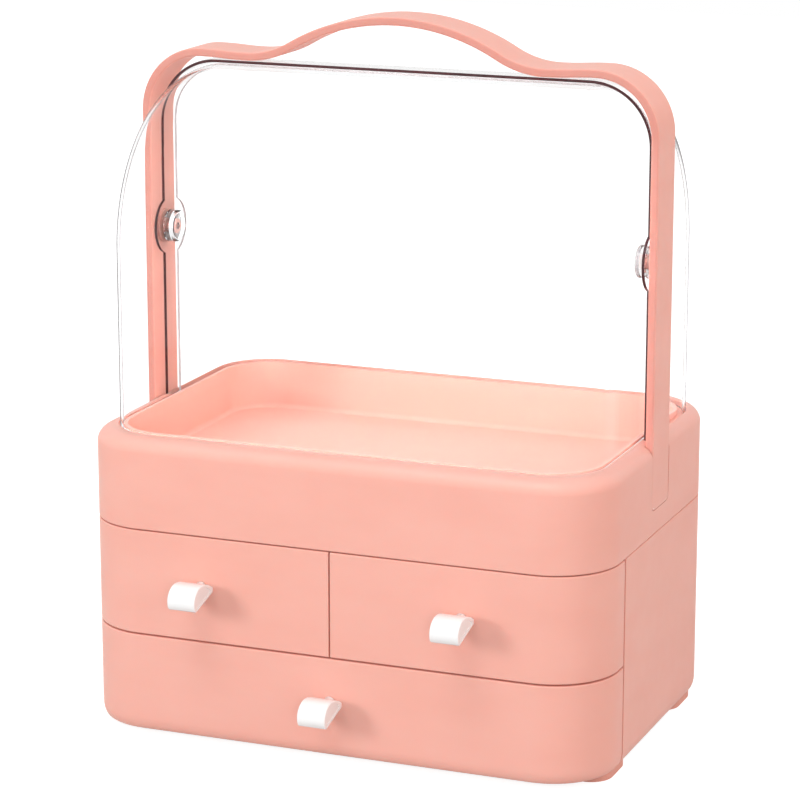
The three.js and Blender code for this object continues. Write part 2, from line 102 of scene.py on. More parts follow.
# Tray
RIM_FILL_WIDTH = 9.4 * MM
RIM_FILL_HEIGHT = 8 * MM
TRAY_FLOOR_Z = RIM_Z - 26 * MM
TRAY_WALL = 2.8 * MM
TRAY_FLOOR_THICK = 2.2 * MM
TRAY_FLOOR_ROUND = 2.5 * MM
FRONT_SEAT_DEPTH = 1 * MM
REAR_SEAT_DEPTH = 3.3 * MM
SEAT_SIDE = 0.4 * MM
SWING_ROOM = 1.2 * MM
SLOT_DROP = 35.5 * MM
SLOT_ROUND = 4 * MM
CHEEK_WALL = 1.8 * MM
RIDGE_GAP = 0.5 * MM
RIDGE_WALL = 2 * MM
TOUCH_GAP = 0.3 * MM

# Cover: the rear shell is its half width, its radius about the pivots' axis, and its corner
SHELL_WALL = 1.5 * MM
SHELL_STEP = 3.2 * MM
REAR_SHELL = (136.3 * MM, 91.4 * MM, 33 * MM)
REAR_LAP = 5 * MM
FRONT_LAP = 5 * MM
EAR_RADIUS = 15 * MM
COVER_EDGE = 0.15 * MM
PIVOT_Z = RIM_Z + 91.6 * MM
front_cover_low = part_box("front_cover")[0]
rear_cover_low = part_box("rear_cover")[0]

# Handle
STRAP_WIDTH = 28 * MM
STRAP_THICK = 4.3 * MM
STRAP_ROUND = 1.1 * MM
STRAP_EDGE = 0.3 * MM
SHOULDER_Z = RIM_Z + 189.6 * MM
SHOULDER_RADIUS = 34 * MM
HUMP_RISE = 22 * MM
HUMP_RADIUS = 116 * MM
DIP_REACH = 82 * MM
DIP_DROP = 1 * MM
COLLAR_RADIUS = 9 * MM
STUB_RADIUS = 4 * MM
STUB_BORE = 2 * MM
STUB_BORE_DEPTH = 5.3 * MM
CATCH_WIDTH = 12 * MM
CATCH_HEIGHT = 6 * MM
CATCH_DEPTH = 1.5 * MM
CATCH_RISE = 18 * MM

# Knobs: heights are from the middle of the stem, and reaches from the drawer's front
KNOB_WIDTH = 15.2 * MM
KNOB_REACH = 24.5 * MM
KNOB_CREST = 5.6 * MM
KNOB_CREST_REACH = 15.5 * MM
KNOB_NOSE = 2 * MM
KNOB_LIP = 6.5 * MM
KNOB_LIP_BACK = 3 * MM
KNOB_NECK = 1.8 * MM
KNOB_NECK_HEIGHT = 2.6 * MM
KNOB_ROUND = 0.5 * MM
KNOB_EDGE = 0.12 * MM
KNOB_PANEL_RIM = 1.5 * MM
KNOB_PANEL_DEPTH = 0.5 * MM
STEM_RADIUS = 3 * MM
STEM_LENGTH = 10 * MM
STEM_BORE = 1.45 * MM
BORE_DEPTH = 6.6 * MM

# Screws
SHANK_RADIUS = 1.3 * MM
HEAD_RADIUS = 2.8 * MM
HEAD_THICK = 1.6 * MM
HEAD_ROUND = 0.7 * MM
DRIVE_WIDTH = 0.7 * MM
DRIVE_DEPTH = 0.6 * MM
THREAD_PITCH = 1.2 * MM
THREAD_DEPTH = 0.3 * MM
KNOB_SCREW_LENGTH = 12 * MM
TRAY_SCREW_LENGTH = 9 * MM

# Pivots
CAP_ROUND = 1.2 * MM
CAP_THICK = 2.6 * MM
CAP_STEM = 1.7 * MM
CAP_TIP_ROUND = 0.3 * MM
RING_EDGE = 0.2 * MM

# Feet
FOOT_ROUND = 0.8 * MM

# Facets
CORNER_STEPS = 20
EDGE_STEPS = 4
FILLET_STEPS = 12
GRIP_STEPS = 28
DOME_STEPS = 96
SHOULDER_STEPS = 24
EASE_STEPS = 4
DIP_STEPS = 14
HUMP_STEPS = 40
ROUND_SIDES = 64

# Angles in degrees: edges sharper than these are rounded or stay sharp, and flatter ones dissolve
SOFTEN_ANGLE = 40
FINE_SOFTEN_ANGLE = 50
SMOOTH_ANGLE = 32
FLAT_ANGLE = 0.5

# Cutters reach past a piece by the overrun, and places closer than the others count as the same
OVERRUN = 5 * MM
SAME = 0.005 * MM
ON_EAR = 0.05 * MM
LEAST_SCALE = 0.001


# Shaping tools


def near(a, b):
    return abs(a - b) < SAME


def begin():
    """Leaves edit mode and selects nothing."""
    if bpy.context.mode != "OBJECT":
        bpy.ops.object.mode_set(mode="OBJECT")
    bpy.ops.object.select_all(action="DESELECT")


def hold(piece):
    """Makes one object the selected and active one."""
    begin()
    piece.select_set(True)
    bpy.context.view_layer.objects.active = piece


def settled(name):
    """Names the new primitive and moves its place and size into its mesh."""
    piece = bpy.context.object
    piece.name = name
    bpy.ops.object.transform_apply(location=True, rotation=True, scale=True)
    return piece


def block(name, low, high):
    begin()
    low, high = Vector(low), Vector(high)
    bpy.ops.mesh.primitive_cube_add(size=1, location=(low + high) / 2, scale=high - low)
    return settled(name)


def plane(name, middle, width, depth):
    begin()
    bpy.ops.mesh.primitive_plane_add(size=1, location=middle)
    bpy.ops.transform.resize(value=(width, depth, 1))
    return settled(name)


def rod(name, radius, start, end, sides=ROUND_SIDES):
    """Cylinder from start to end."""
    begin()
    start, end = Vector(start), Vector(end)
    along = end - start
    turn = along.to_track_quat("Z", "Y").to_euler()
    bpy.ops.mesh.primitive_cylinder_add(
        vertices=sides, radius=radius, depth=along.length, location=(start + end) / 2, rotation=turn
    )
    return settled(name)


def pick(piece, kind, wanted):
    """Selects, in edit mode, the vertices, edges or faces that are wanted."""
    hold(piece)
    bpy.ops.object.mode_set(mode="EDIT")
    bpy.context.tool_settings.mesh_select_mode = (kind == "VERT", kind == "EDGE", kind == "FACE")
    bpy.ops.mesh.select_all(action="DESELECT")
    mesh = bmesh.from_edit_mesh(piece.data)
    parts = {"VERT": mesh.verts, "EDGE": mesh.edges, "FACE": mesh.faces}[kind]
    for part in [p for p in parts if wanted(p)]:
        part.select_set(True)
    mesh.select_flush_mode()
    bmesh.update_edit_mesh(piece.data)


def ends_at(axis, value):
    """A test for an edge or face whose vertices all lie at one place along an axis."""
    return lambda part: all(near(v.co[axis], value) for v in part.verts)


def upright(edge):
    a, b = (v.co for v in edge.verts)
    return near(a.x, b.x) and near(a.y, b.y)


def level_rim(z):
    """A test for the edges round the outside of the flat face at a height."""
    at_level = ends_at(2, z)
    return lambda e: at_level(e) and not all(at_level(f) for f in e.link_faces)


def bevel(piece, wanted, width, steps=EDGE_STEPS):
    pick(piece, "EDGE", wanted)
    bpy.ops.mesh.bevel(offset=width, segments=steps, affect="EDGES", clamp_overlap=True)
    begin()


def fillet_up(piece, wanted, width, height, steps=FILLET_STEPS):
    """Moves a flat face outwards in a quarter of an ellipse."""
    pick(piece, "FACE", wanted)
    turns = [i / steps * pi / 2 for i in range(steps + 1)]
    for before, after in zip(turns, turns[1:]):
        inward = width * (cos(before) - cos(after))
        upward = height * (sin(after) - sin(before))
        bpy.ops.mesh.inset(thickness=inward, depth=upward)
    begin()


def keep(piece, place, way):
    """Cuts the piece by a plane and keeps what lies on the side that the way points to."""
    pick(piece, "FACE", lambda f: True)
    bpy.ops.mesh.bisect(plane_co=place, plane_no=way, use_fill=True, clear_inner=True)
    begin()


def extrude(x, y, z):
    """Draws what is selected out into a new length."""
    bpy.ops.mesh.extrude_region_move(TRANSFORM_OT_translate={"value": (x, y, z)})


def modified(piece, kind, **settings):
    """Adds a modifier with its settings, and applies it."""
    hold(piece)
    bpy.ops.object.modifier_add(type=kind)
    modifier = piece.modifiers[-1]
    for name, value in settings.items():
        setattr(modifier, name, value)
    bpy.ops.object.modifier_apply(modifier=modifier.name)


def joined(piece, operation, tools):
    """Joins the tools to the piece, or cuts it by them, and uses them up."""
    for tool in tools:
        modified(piece, "BOOLEAN", operation=operation, solver="EXACT", object=tool)
        bpy.data.objects.remove(tool)
    return piece


def add(piece, *tools):
    return joined(piece, "UNION", tools)


def cut(piece, *tools):
    return joined(piece, "DIFFERENCE", tools)


def merge(piece):
    """Merges the doubles and turns all faces outwards."""
    pick(piece, "VERT", lambda v: True)
    bpy.ops.mesh.remove_doubles(threshold=SAME)
    bpy.ops.mesh.normals_make_consistent(inside=False)
    begin()


def soften(piece, width=MOULDED_EDGE, angle=SOFTEN_ANGLE):
    """Rounds every edge that is sharper than the angle."""
    modified(
        piece,
        "BEVEL",
        width=width,
        segments=2,
        limit_method="ANGLE",
        angle_limit=radians(angle),
        use_clamp_overlap=True,
    )


def copied(piece, name, place=(0, 0, 0), turn=(0, 0, 0)):
    """A copy with its own mesh, turned about the origin and then moved."""
    hold(piece)
    bpy.ops.object.duplicate(linked=False)
    copy = bpy.context.object
    copy.name = name
    copy.location = place
    copy.rotation_euler = turn
    bpy.ops.object.transform_apply(location=True, rotation=True, scale=True)
    return copy


def finished(piece, node, body, material):
    """Shades a piece, gives it its finish, and puts it in its CAD node's place on its body.

    A piece that already has its finishes keeps them.
    """
    hold(piece)
    bpy.ops.object.shade_smooth_by_angle(angle=radians(SMOOTH_ANGLE))
    modified(piece, "WEIGHTED_NORMAL", keep_sharp=True)
    if not piece.data.materials:
        piece.data.materials.append(material)
    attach(piece, body)
    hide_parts(node)


# Finishes

NOISE_LOW, NOISE_HIGH = 0.3, 0.7
GRAIN_DEPTH = 0.008 * MM
GLOW_DEPTH = 3 * MM
POLISH_DROP = 7 * MM
LAMP_TINT = (0.95, 0.945, 0.95)


class Finish:
    """A material's node tree with a Principled shader, and short ways to add nodes to it."""

    def __init__(self, name, **numbers):
        self.material = bpy.data.materials.new(name)
        self.material.use_nodes = True
        self.tree = self.material.node_tree
        self.shader = self.tree.nodes["Principled BSDF"]
        self.output = self.tree.nodes["Material Output"]
        for socket, value in numbers.items():
            self.shader.inputs[socket.replace("_", " ")].default_value = value
        self.place = self.node("TexCoord").outputs["Object"]

    def node(self, kind, **settings):
        made = self.tree.nodes.new("ShaderNode" + kind)
        for name, value in settings.items():
            setattr(made, name, value)
        return made

    def link(self, source, target):
        self.tree.links.new(source, target)

    def noise(self, size, detail=2, stretch=(1, 1, 1)):
        """Noise whose grains are about as large as the size."""
        mapping = self.node("Mapping")
        mapping.inputs["Scale"].default_value = stretch
        noise = self.node("TexNoise")
        noise.inputs["Scale"].default_value = 1 / size
        noise.inputs["Detail"].default_value = detail
        self.link(self.place, mapping.inputs["Vector"])
        self.link(mapping.outputs["Vector"], noise.inputs["Vector"])
        return noise.outputs["Fac"]

    def ramp(self, factor, shade, bright):
        """A colour that follows noise from a shade to a brighter one."""
        ramp = self.node("ValToRGB")
        stops = zip(ramp.color_ramp.elements, (NOISE_LOW, NOISE_HIGH), (shade, bright))
        for element, place, colour in stops:
            element.position = place
            element.color = (*colour, 1)
        self.link(factor, ramp.inputs["Fac"])
        return ramp.outputs["Color"]

    def spread(self, factor, low, high, from_low=NOISE_LOW, from_high=NOISE_HIGH):
        """A number that goes from low to high as a factor goes from one limit to the other."""
        spread = self.node("MapRange")
        limits = {"From Min": from_low, "From Max": from_high, "To Min": low, "To Max": high}
        for socket, value in limits.items():
            spread.inputs[socket].default_value = value
        self.link(factor, spread.inputs["Value"])
        return spread.outputs["Result"]

    def reckon(self, operation, *numbers):
        """A number worked out from others."""
        made = self.node("Math", operation=operation)
        for source, socket in zip(numbers, made.inputs):
            self.link(source, socket)
        return made.outputs["Value"]

    def parts(self, vector):
        """The X, Y and Z of a vector."""
        parts = self.node("SeparateXYZ")
        self.link(vector, parts.inputs["Vector"])
        return parts.outputs

    def turned(self):
        """How far the surface faces across, along and up, each from 0 to 1."""
        sizes = self.node("VectorMath", operation="ABSOLUTE")
        self.link(self.node("TexCoord").outputs["Normal"], sizes.inputs[0])
        return self.parts(sizes.outputs["Vector"])

    def bumps(self, *layers):
        """Bumps one over the other, each as a height and its depth."""
        normal = None
        for height, depth in layers:
            bump = self.node("Bump")
            bump.inputs["Strength"].default_value = 1
            bump.inputs["Distance"].default_value = depth
            self.link(height, bump.inputs["Height"])
            if normal:
                self.link(normal, bump.inputs["Normal"])
            normal = bump.outputs["Normal"]
        self.link(normal, self.shader.inputs["Normal"])

    def colour(self, source):
        self.link(source, self.shader.inputs["Base Color"])

    def roughness(self, source):
        self.link(source, self.shader.inputs["Roughness"])


def moulded(
    name,
    shade,
    bright,
    rough,
    gloss,
    depth,
    reach=(1, 0.35, 0.25),
    polished_z=None,
    painted_edge_shade=None,
):
    """Injection moulded plastic: faint flow marks in its colour, an uneven sheen and a fine grain.

    Light goes into it, by its depth and by its reach for each colour. It can be polished near the
    height of its rim, and have painted shade on narrow edges that face the front and rear.
    """
    finish = Finish(
        name,
        IOR=1.5,
        Specular_IOR_Level=gloss,
        Subsurface_Weight=depth,
        Subsurface_Scale=GLOW_DEPTH,
    )
    finish.shader.inputs["Subsurface Radius"].default_value = reach
    if polished_z:
        height = finish.parts(finish.place)["Z"]
        sheen = finish.spread(
            height, gloss, 1, from_low=polished_z - POLISH_DROP, from_high=polished_z
        )
        finish.link(sheen, finish.shader.inputs["Specular IOR Level"])
    flow = finish.noise(60 * MM, detail=3, stretch=(1, 1, 2.5))
    colour = finish.ramp(flow, shade, bright)
    # Painted shade: faces that point front and rear are darkened by a colour multiplied in.
    if painted_edge_shade:
        painted_shade_mix = finish.node("MixRGB", blend_type="MULTIPLY")
        edge = finish.spread(finish.turned()["Y"], 0, 1, from_low=0.5, from_high=0.9)
        finish.link(edge, painted_shade_mix.inputs["Fac"])
        finish.link(colour, painted_shade_mix.inputs["Color1"])
        painted_shade_mix.inputs["Color2"].default_value = (*painted_edge_shade, 1)
        colour = painted_shade_mix.outputs["Color"]
    finish.colour(colour)
    finish.roughness(finish.spread(finish.noise(9 * MM, detail=4), rough - 0.04, rough + 0.05))
    coarse, fine = finish.noise(3 * MM), finish.noise(0.5 * MM, detail=1)
    finish.bumps((coarse, GRAIN_DEPTH), (fine, GRAIN_DEPTH / 3))
    return finish.material


def let_lamps_through(finish, surface):
    """Gives a clear finish its surface, and a faint tint to the lamps' light that passes it."""
    path = finish.node("LightPath")
    window = finish.node("BsdfTransparent")
    window.inputs["Color"].default_value = (*LAMP_TINT, 1)
    mix = finish.node("MixShader")
    finish.link(path.outputs["Is Shadow Ray"], mix.inputs["Fac"])
    finish.link(surface, mix.inputs[1])
    finish.link(window.outputs["BSDF"], mix.inputs[2])
    finish.link(mix.outputs["Shader"], finish.output.inputs["Surface"])


def clear_plastic():
    """Clear polished plastic of the small solid pieces, which bends what is seen through it."""
    finish = Finish("clear_plastic", IOR=1.45, Transmission_Weight=1)
    finish.colour(finish.ramp(finish.noise(10 * MM), (0.975, 0.98, 0.985), (0.99, 0.99, 0.99)))
    finish.roughness(finish.spread(finish.noise(5 * MM), 0.01, 0.05))
    let_lamps_through(finish, finish.shader.outputs["BSDF"])
    return finish.material


def clear_wall():
    """Clear plastic of the thin walls, seen through nearly unbent.

    Its upright round corners have a painted grey outline, painted shade where they turn out of
    sight.
    """
    finish = Finish("clear_wall", IOR=1.05, Transmission_Weight=1)
    haze = finish.noise(40 * MM)
    finish.colour(finish.ramp(haze, (0.985, 0.988, 0.99), (0.995, 0.995, 0.995)))
    finish.roughness(finish.spread(finish.noise(15 * MM), 0, 0.02))
    across, along, up = finish.turned()
    flattest = finish.reckon("MAXIMUM", across, along)
    upright_wall = finish.spread(up, 1, 0.1, from_low=0.3, from_high=0.75)
    round_wall = finish.spread(flattest, 1, 0, from_low=0.965, from_high=0.995)
    corner = finish.reckon("MULTIPLY", upright_wall, round_wall)
    # Painted shade: a grey diffuse outline is mixed in where the round corners turn away from view.
    facing = finish.node("LayerWeight").outputs["Facing"]
    turning = finish.spread(facing, 0, 0.9, from_low=0.79, from_high=0.88)
    painted_shade_tone = finish.ramp(finish.noise(25 * MM), (0.24, 0.23, 0.24), (0.34, 0.33, 0.34))
    painted_shade_bsdf = finish.node("BsdfDiffuse")
    finish.link(painted_shade_tone, painted_shade_bsdf.inputs["Color"])
    wall = finish.node("MixShader")
    finish.link(finish.reckon("MULTIPLY", turning, corner), wall.inputs["Fac"])
    finish.link(finish.shader.outputs["BSDF"], wall.inputs[1])
    finish.link(painted_shade_bsdf.outputs["BSDF"], wall.inputs[2])
    let_lamps_through(finish, wall.outputs["Shader"])
    return finish.material


def painted_cut_edge(name, shade, bright):
    """The cut edge of a clear wall: duller than its faces, with painted light and shade for colour.
    """
    finish = Finish(name, IOR=1.49)
    finish.colour(finish.ramp(finish.noise(20 * MM, detail=3), shade, bright))
    finish.roughness(finish.spread(finish.noise(4 * MM), 0.25, 0.4))
    return finish.material


def zinc_steel():
    finish = Finish("zinc_steel", Metallic=1)
    worn = finish.noise(0.6 * MM, detail=4, stretch=(1, 1, 4))
    finish.colour(finish.ramp(worn, (0.52, 0.53, 0.55), (0.72, 0.72, 0.74)))
    finish.roughness(finish.spread(worn, 0.22, 0.42))
    finish.bumps((worn, 0.01 * MM))
    return finish.material


def soft_rubber():
    finish = Finish("soft_rubber", IOR=1.5)
    dust = finish.noise(2.5 * MM, detail=5)
    finish.colour(finish.ramp(dust, (0.74, 0.32, 0.25), (0.82, 0.39, 0.31)))
    finish.roughness(finish.spread(dust, 0.62, 0.8))
    finish.bumps((finish.noise(0.4 * MM, detail=3), 0.05 * MM))
    return finish.material


SALMON_LOOK = {
    "shade": (0.86, 0.43, 0.355),
    "bright": (0.88, 0.46, 0.385),
    "rough": 0.45,
    "gloss": 0.1,
    "depth": 0.3,
}
WHITE_LOOK = {
    "shade": (0.86, 0.86, 0.86),
    "bright": (0.9, 0.9, 0.895),
    "rough": 0.2,
    "gloss": 0.5,
    "depth": 0.6,
    "reach": (1, 1, 1),
}
SALMON = moulded("salmon_plastic", **SALMON_LOOK)
RIM = moulded("rim_plastic", polished_z=RIM_Z, **SALMON_LOOK)
# The strap's front and rear faces get painted shade.
STRAP = moulded("strap_plastic", painted_edge_shade=(0.8, 0.71, 0.71), **SALMON_LOOK)
WHITE = moulded("white_plastic", **WHITE_LOOK)
CLEAR = clear_plastic()
WALL = clear_wall()
# Painted colour on the clear cut edges: near-black maroon painted shade on the rear cover, pale grey
# painted light on the front.
REAR_PAINTED_SHADE_EDGE = painted_cut_edge("rear_cover_painted_shade_edge", (0.04, 0.008, 0.01), (0.08, 0.016, 0.02))
FRONT_PAINTED_LIGHT_EDGE = painted_cut_edge("front_cover_painted_light_edge", (0.72, 0.66, 0.67), (0.84, 0.79, 0.8))
STEEL = zinc_steel()
RUBBER = soft_rubber()


# Body pieces


def slab(name, half_x, half_y, corner, z0, z1, steps=CORNER_STEPS):
    """Upright block with rounded corners, about the body's middle."""
    piece = block(name, (-half_x, MIDDLE_Y - half_y, z0), (half_x, MIDDLE_Y + half_y, z1))
    bevel(piece, upright, corner, steps)
    return piece


def body_slab(name, inset, z0, z1):
    return slab(name, HALF_WIDTH - inset, HALF_DEPTH - inset, BODY_CORNER - inset, z0, z1)


def band(name, z0, z1):
    """A length of the body's outside, its seams' edges rounded, and its base more so."""
    if near(z0, BASE_Z):
        foot_z = z0 + BASE_FILL_HEIGHT
        piece = body_slab(name, 0, foot_z, z1)
        fillet_up(piece, ends_at(2, foot_z), BASE_FILL_WIDTH, BASE_FILL_HEIGHT, EDGE_STEPS * 2)
    else:
        piece = body_slab(name, 0, z0, z1)
        bevel(piece, level_rim(z0), SEAM_ROUND)
    bevel(piece, level_rim(z1), SEAM_ROUND)
    return piece


def round_side_seam(piece, y):
    """Rounds the outer edges of a band where it was cut at the side seams."""
    outside = HALF_WIDTH - BASE_FILL_WIDTH + SAME
    at_seam = ends_at(1, y)
    bevel(piece, lambda e: at_seam(e) and all(abs(v.co.x) > outside for v in e.verts), SEAM_ROUND)


def make_cabinet():
    cabinet = band("cabinet_moulding", BASE_Z, DECK_TOP_Z)
    keep(cabinet, (0, WRAP_Y + SIDE_SEAM_GAP, 0), (0, 1, 0))
    round_side_seam(cabinet, WRAP_Y + SIDE_SEAM_GAP)
    add(cabinet, body_slab("core", DRAWER_INSET, BASE_Z, DECK_TOP_Z))
    cut(cabinet, body_slab("low_bay", CABINET_WALL, BASE_Z + FLOOR_THICK, SHELF_Z))
    for side in (-1, 1):
        bay = body_slab("high_bay", CABINET_WALL, SHELF_Z + SHELF_THICK, DECK_TOP_Z - DECK_THICK)
        keep(bay, (side * DIVIDER_THICK / 2, 0, 0), (side, 0, 0))
        cut(cabinet, bay)
    soften(cabinet)
    finished(cabinet, "cabinet", "body", SALMON)


DRAWERS = {"left": -1, "right": 1, "large": 0}


def screw_hole(node):
    """A drill along Y through a drawer's front, on the middle of its knob screw."""
    low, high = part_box(node)
    x, z = (low.x + high.x) / 2, (low.z + high.z) / 2
    return rod("drill", DRILL_RADIUS, (x, low.y - OVERRUN, z), (x, high.y + OVERRUN, z), sides=24)


def make_drawer_front(name, side):
    node = "drawer_front_" + name
    low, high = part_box(node)
    front = band(node + "_panel", low.z, high.z)
    cut(front, body_slab("hollow", PANEL_WALL, low.z - OVERRUN, high.z + OVERRUN))
    keep(front, (0, WRAP_Y, 0), (0, -1, 0))
    round_side_seam(front, WRAP_Y)
    if side:
        keep(front, (side * SEAM_GAP / 2, 0, 0), (side, 0, 0))
    cut(front, screw_hole("knob_screw_" + name))
    soften(front)
    finished(front, node, name + "_drawer", SALMON)


def make_drawer_box(name, side):
    node = "drawer_" + name
    low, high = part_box(node)
    box = body_slab(node + "_box", DRAWER_INSET, low.z, high.z)
    if side:
        keep(box, (low.x if side > 0 else high.x, 0, 0), (side, 0, 0))
    pick(box, "FACE", ends_at(2, high.z))
    bpy.ops.mesh.inset(thickness=DRAWER_WALL, depth=0)
    extrude(0, 0, low.z + DRAWER_FLOOR - high.z)
    bevel(box, level_rim(low.z + DRAWER_FLOOR), DRAWER_ROUND, steps=5)
    bevel(box, level_rim(high.z), LIP_ROUND, steps=3)
    bevel(box, level_rim(low.z), DRAWER_ROUND, steps=5)
    cut(box, screw_hole("knob_screw_" + name))
    finished(box, node, name + "_drawer", SALMON)


# Tray


def shrunk(size, step):
    """A plan's half width, half depth and corner, all of them smaller by a step."""
    return tuple(value - step for value in size)


def on_side(side, x0, x1, half_y, z0, z1):
    """Low and high corners of a block between two places across, on the left or right side."""
    x0, x1 = sorted((side * x0, side * x1))
    return (x0, MIDDLE_Y - half_y, z0), (x1, MIDDLE_Y + half_y, z1)


FRONT_SHELL = shrunk(REAR_SHELL, SHELL_STEP)
RIDGE = shrunk(FRONT_SHELL, SHELL_WALL + RIDGE_GAP)
COMPARTMENT = shrunk(RIDGE, RIDGE_WALL)


def foot_bar(name, low, high):
    """A bar across the strap's foot or its slot, with rounded lower corners."""
    bar = block(name, low, high)

    def lower_corner(edge):
        a, b = (v.co for v in edge.verts)
        return near(a.y, b.y) and near(a.z, low[2]) and near(b.z, low[2])

    bevel(bar, lower_corner, SLOT_ROUND, steps=8)
    return bar


def catch(name, side, gap):
    """The wedge on the strap's inner face, or the window for it when grown by a gap."""
    ledge = RIM_Z - SLOT_DROP + CATCH_RISE
    root = HALF_WIDTH - STRAP_THICK / 2
    reach = HALF_WIDTH - STRAP_THICK - CATCH_DEPTH - gap
    low_z = ledge - CATCH_HEIGHT - gap
    wedge = block(name, *on_side(side, reach, root, CATCH_WIDTH / 2 + gap, low_z, ledge + gap))
    pick(wedge, "VERT", lambda v: near(v.co.x, side * reach) and v.co.z < ledge - CATCH_HEIGHT / 2)
    bpy.ops.transform.translate(value=(side * (CATCH_DEPTH + gap), 0, 0))
    begin()
    return wedge


def make_tray():
    edge_z = RIM_Z - RIM_FILL_HEIGHT
    tray = body_slab("tray_moulding", 0, TRAY_Z, edge_z)
    bevel(tray, level_rim(TRAY_Z), SEAM_ROUND)
    fillet_up(tray, ends_at(2, edge_z), RIM_FILL_WIDTH, RIM_FILL_HEIGHT)
    jog_y = MIDDLE_Y - REAR_LAP - SEAT_SIDE
    front_z, rear_z, top_z = RIM_Z - FRONT_SEAT_DEPTH, RIM_Z - REAR_SEAT_DEPTH, RIM_Z + OVERRUN
    half, radius, corner = shrunk(FRONT_SHELL, -SEAT_SIDE)
    front_seat = slab("front_seat", half, radius + SWING_ROOM, corner, front_z, top_z)
    keep(front_seat, (0, jog_y, 0), (0, -1, 0))
    rear_seat = slab("rear_seat", *shrunk(REAR_SHELL, -SEAT_SIDE), rear_z, top_z)
    keep(rear_seat, (0, jog_y, 0), (0, 1, 0))
    cut(tray, front_seat, rear_seat)
    add(tray, slab("ridge", *RIDGE, RIM_Z - 2 * REAR_SEAT_DEPTH, RIM_Z))
    compartment = slab("compartment", *COMPARTMENT, TRAY_FLOOR_Z, top_z)
    bevel(compartment, level_rim(TRAY_FLOOR_Z), TRAY_FLOOR_ROUND, steps=6)
    cut(tray, compartment)
    underside = body_slab("underside", TRAY_WALL, TRAY_Z - OVERRUN, TRAY_FLOOR_Z - TRAY_FLOOR_THICK)
    slot_x, slot_half = HALF_WIDTH - STRAP_THICK - TOUCH_GAP, STRAP_WIDTH / 2 + TOUCH_GAP
    slot_z, outside = RIM_Z - SLOT_DROP, HALF_WIDTH + OVERRUN
    for side in (-1, 1):
        cheek = on_side(
            side, slot_x - CHEEK_WALL, outside, slot_half + CHEEK_WALL, slot_z - CHEEK_WALL, RIM_Z
        )
        cut(underside, block("cheek", *cheek))
    cut(tray, underside)
    for side in (-1, 1):
        slot = foot_bar("slot", *on_side(side, slot_x, outside, slot_half, slot_z, top_z))
        cut(tray, slot, catch("window", side, TOUCH_GAP))
    soften(tray)
    finished(tray, "top_tray", "body", RIM)


# Cover


def on_axis(x):
    """A point of the pivots' axis."""
    return x, MIDDLE_Y, PIVOT_Z


def cover_shell(name, size, z0):
    """A cover's outside: its plan turned over the pivots' axis and drawn down to its foot."""
    half, radius, corner = size
    shell = plane(name, (0, MIDDLE_Y + radius / 2, PIVOT_Z), 2 * half, radius)
    pick(shell, "VERT", lambda v: v.co.y > MIDDLE_Y + radius / 2)
    bpy.ops.mesh.bevel(offset=corner, segments=CORNER_STEPS, affect="VERTICES")
    pick(shell, "FACE", lambda f: True)
    bpy.ops.mesh.delete(type="ONLY_FACE")
    pick(shell, "EDGE", ends_at(1, MIDDLE_Y))
    bpy.ops.mesh.delete(type="EDGE")
    pick(shell, "EDGE", lambda e: True)
    bpy.ops.mesh.spin(steps=DOME_STEPS, angle=pi, center=on_axis(0), axis=(-1, 0, 0))
    pick(shell, "VERT", lambda v: True)
    bpy.ops.mesh.remove_doubles(threshold=SAME)
    pick(shell, "EDGE", ends_at(2, PIVOT_Z))
    extrude(0, 0, z0 - PIVOT_Z)
    merge(shell)
    modified(shell, "SOLIDIFY", thickness=SHELL_WALL, offset=-1, use_even_offset=True)
    return shell


def make_cover(node, size, z0, side, lap, body, edge):
    """Half of the cover: what lies behind or before its lap's edge, and its ears."""
    shell = cover_shell(node + "_shell", size, z0)
    reach = HALF_WIDTH + OVERRUN
    ys = sorted((MIDDLE_Y - side * lap, MIDDLE_Y + side * (HALF_DEPTH + OVERRUN)))
    half = block("half", (-reach, ys[0], z0 - OVERRUN), (reach, ys[1], PIVOT_Z + HALF_DEPTH))
    ear = rod("ear", EAR_RADIUS, on_axis(-reach), on_axis(reach))
    joined(shell, "INTERSECT", [add(half, ear)])
    shell.data.materials.clear()
    for material in (WALL, edge):
        shell.data.materials.append(material)
    on_lap = ends_at(1, MIDDLE_Y - side * lap)

    def from_axis(vertex):
        return hypot(vertex.co.y - MIDDLE_Y, vertex.co.z - PIVOT_Z)

    def on_ear(face):
        faces_out = abs(face.normal.x) < 0.5
        return faces_out and all(abs(from_axis(v) - EAR_RADIUS) < ON_EAR for v in face.verts)

    # The lap's cut faces and the ear's rim take the edge finish: painted shade on the rear cover,
    # painted light on the front.
    pick(shell, "FACE", lambda f: on_lap(f) or on_ear(f))
    shell.active_material_index = 1
    bpy.ops.object.material_slot_assign()
    begin()
    cut(shell, rod("hole", STUB_RADIUS + TOUCH_GAP, on_axis(-reach), on_axis(reach)))
    soften(shell, COVER_EDGE, FINE_SOFTEN_ANGLE)
    finished(shell, node, body, WALL)


# Handle


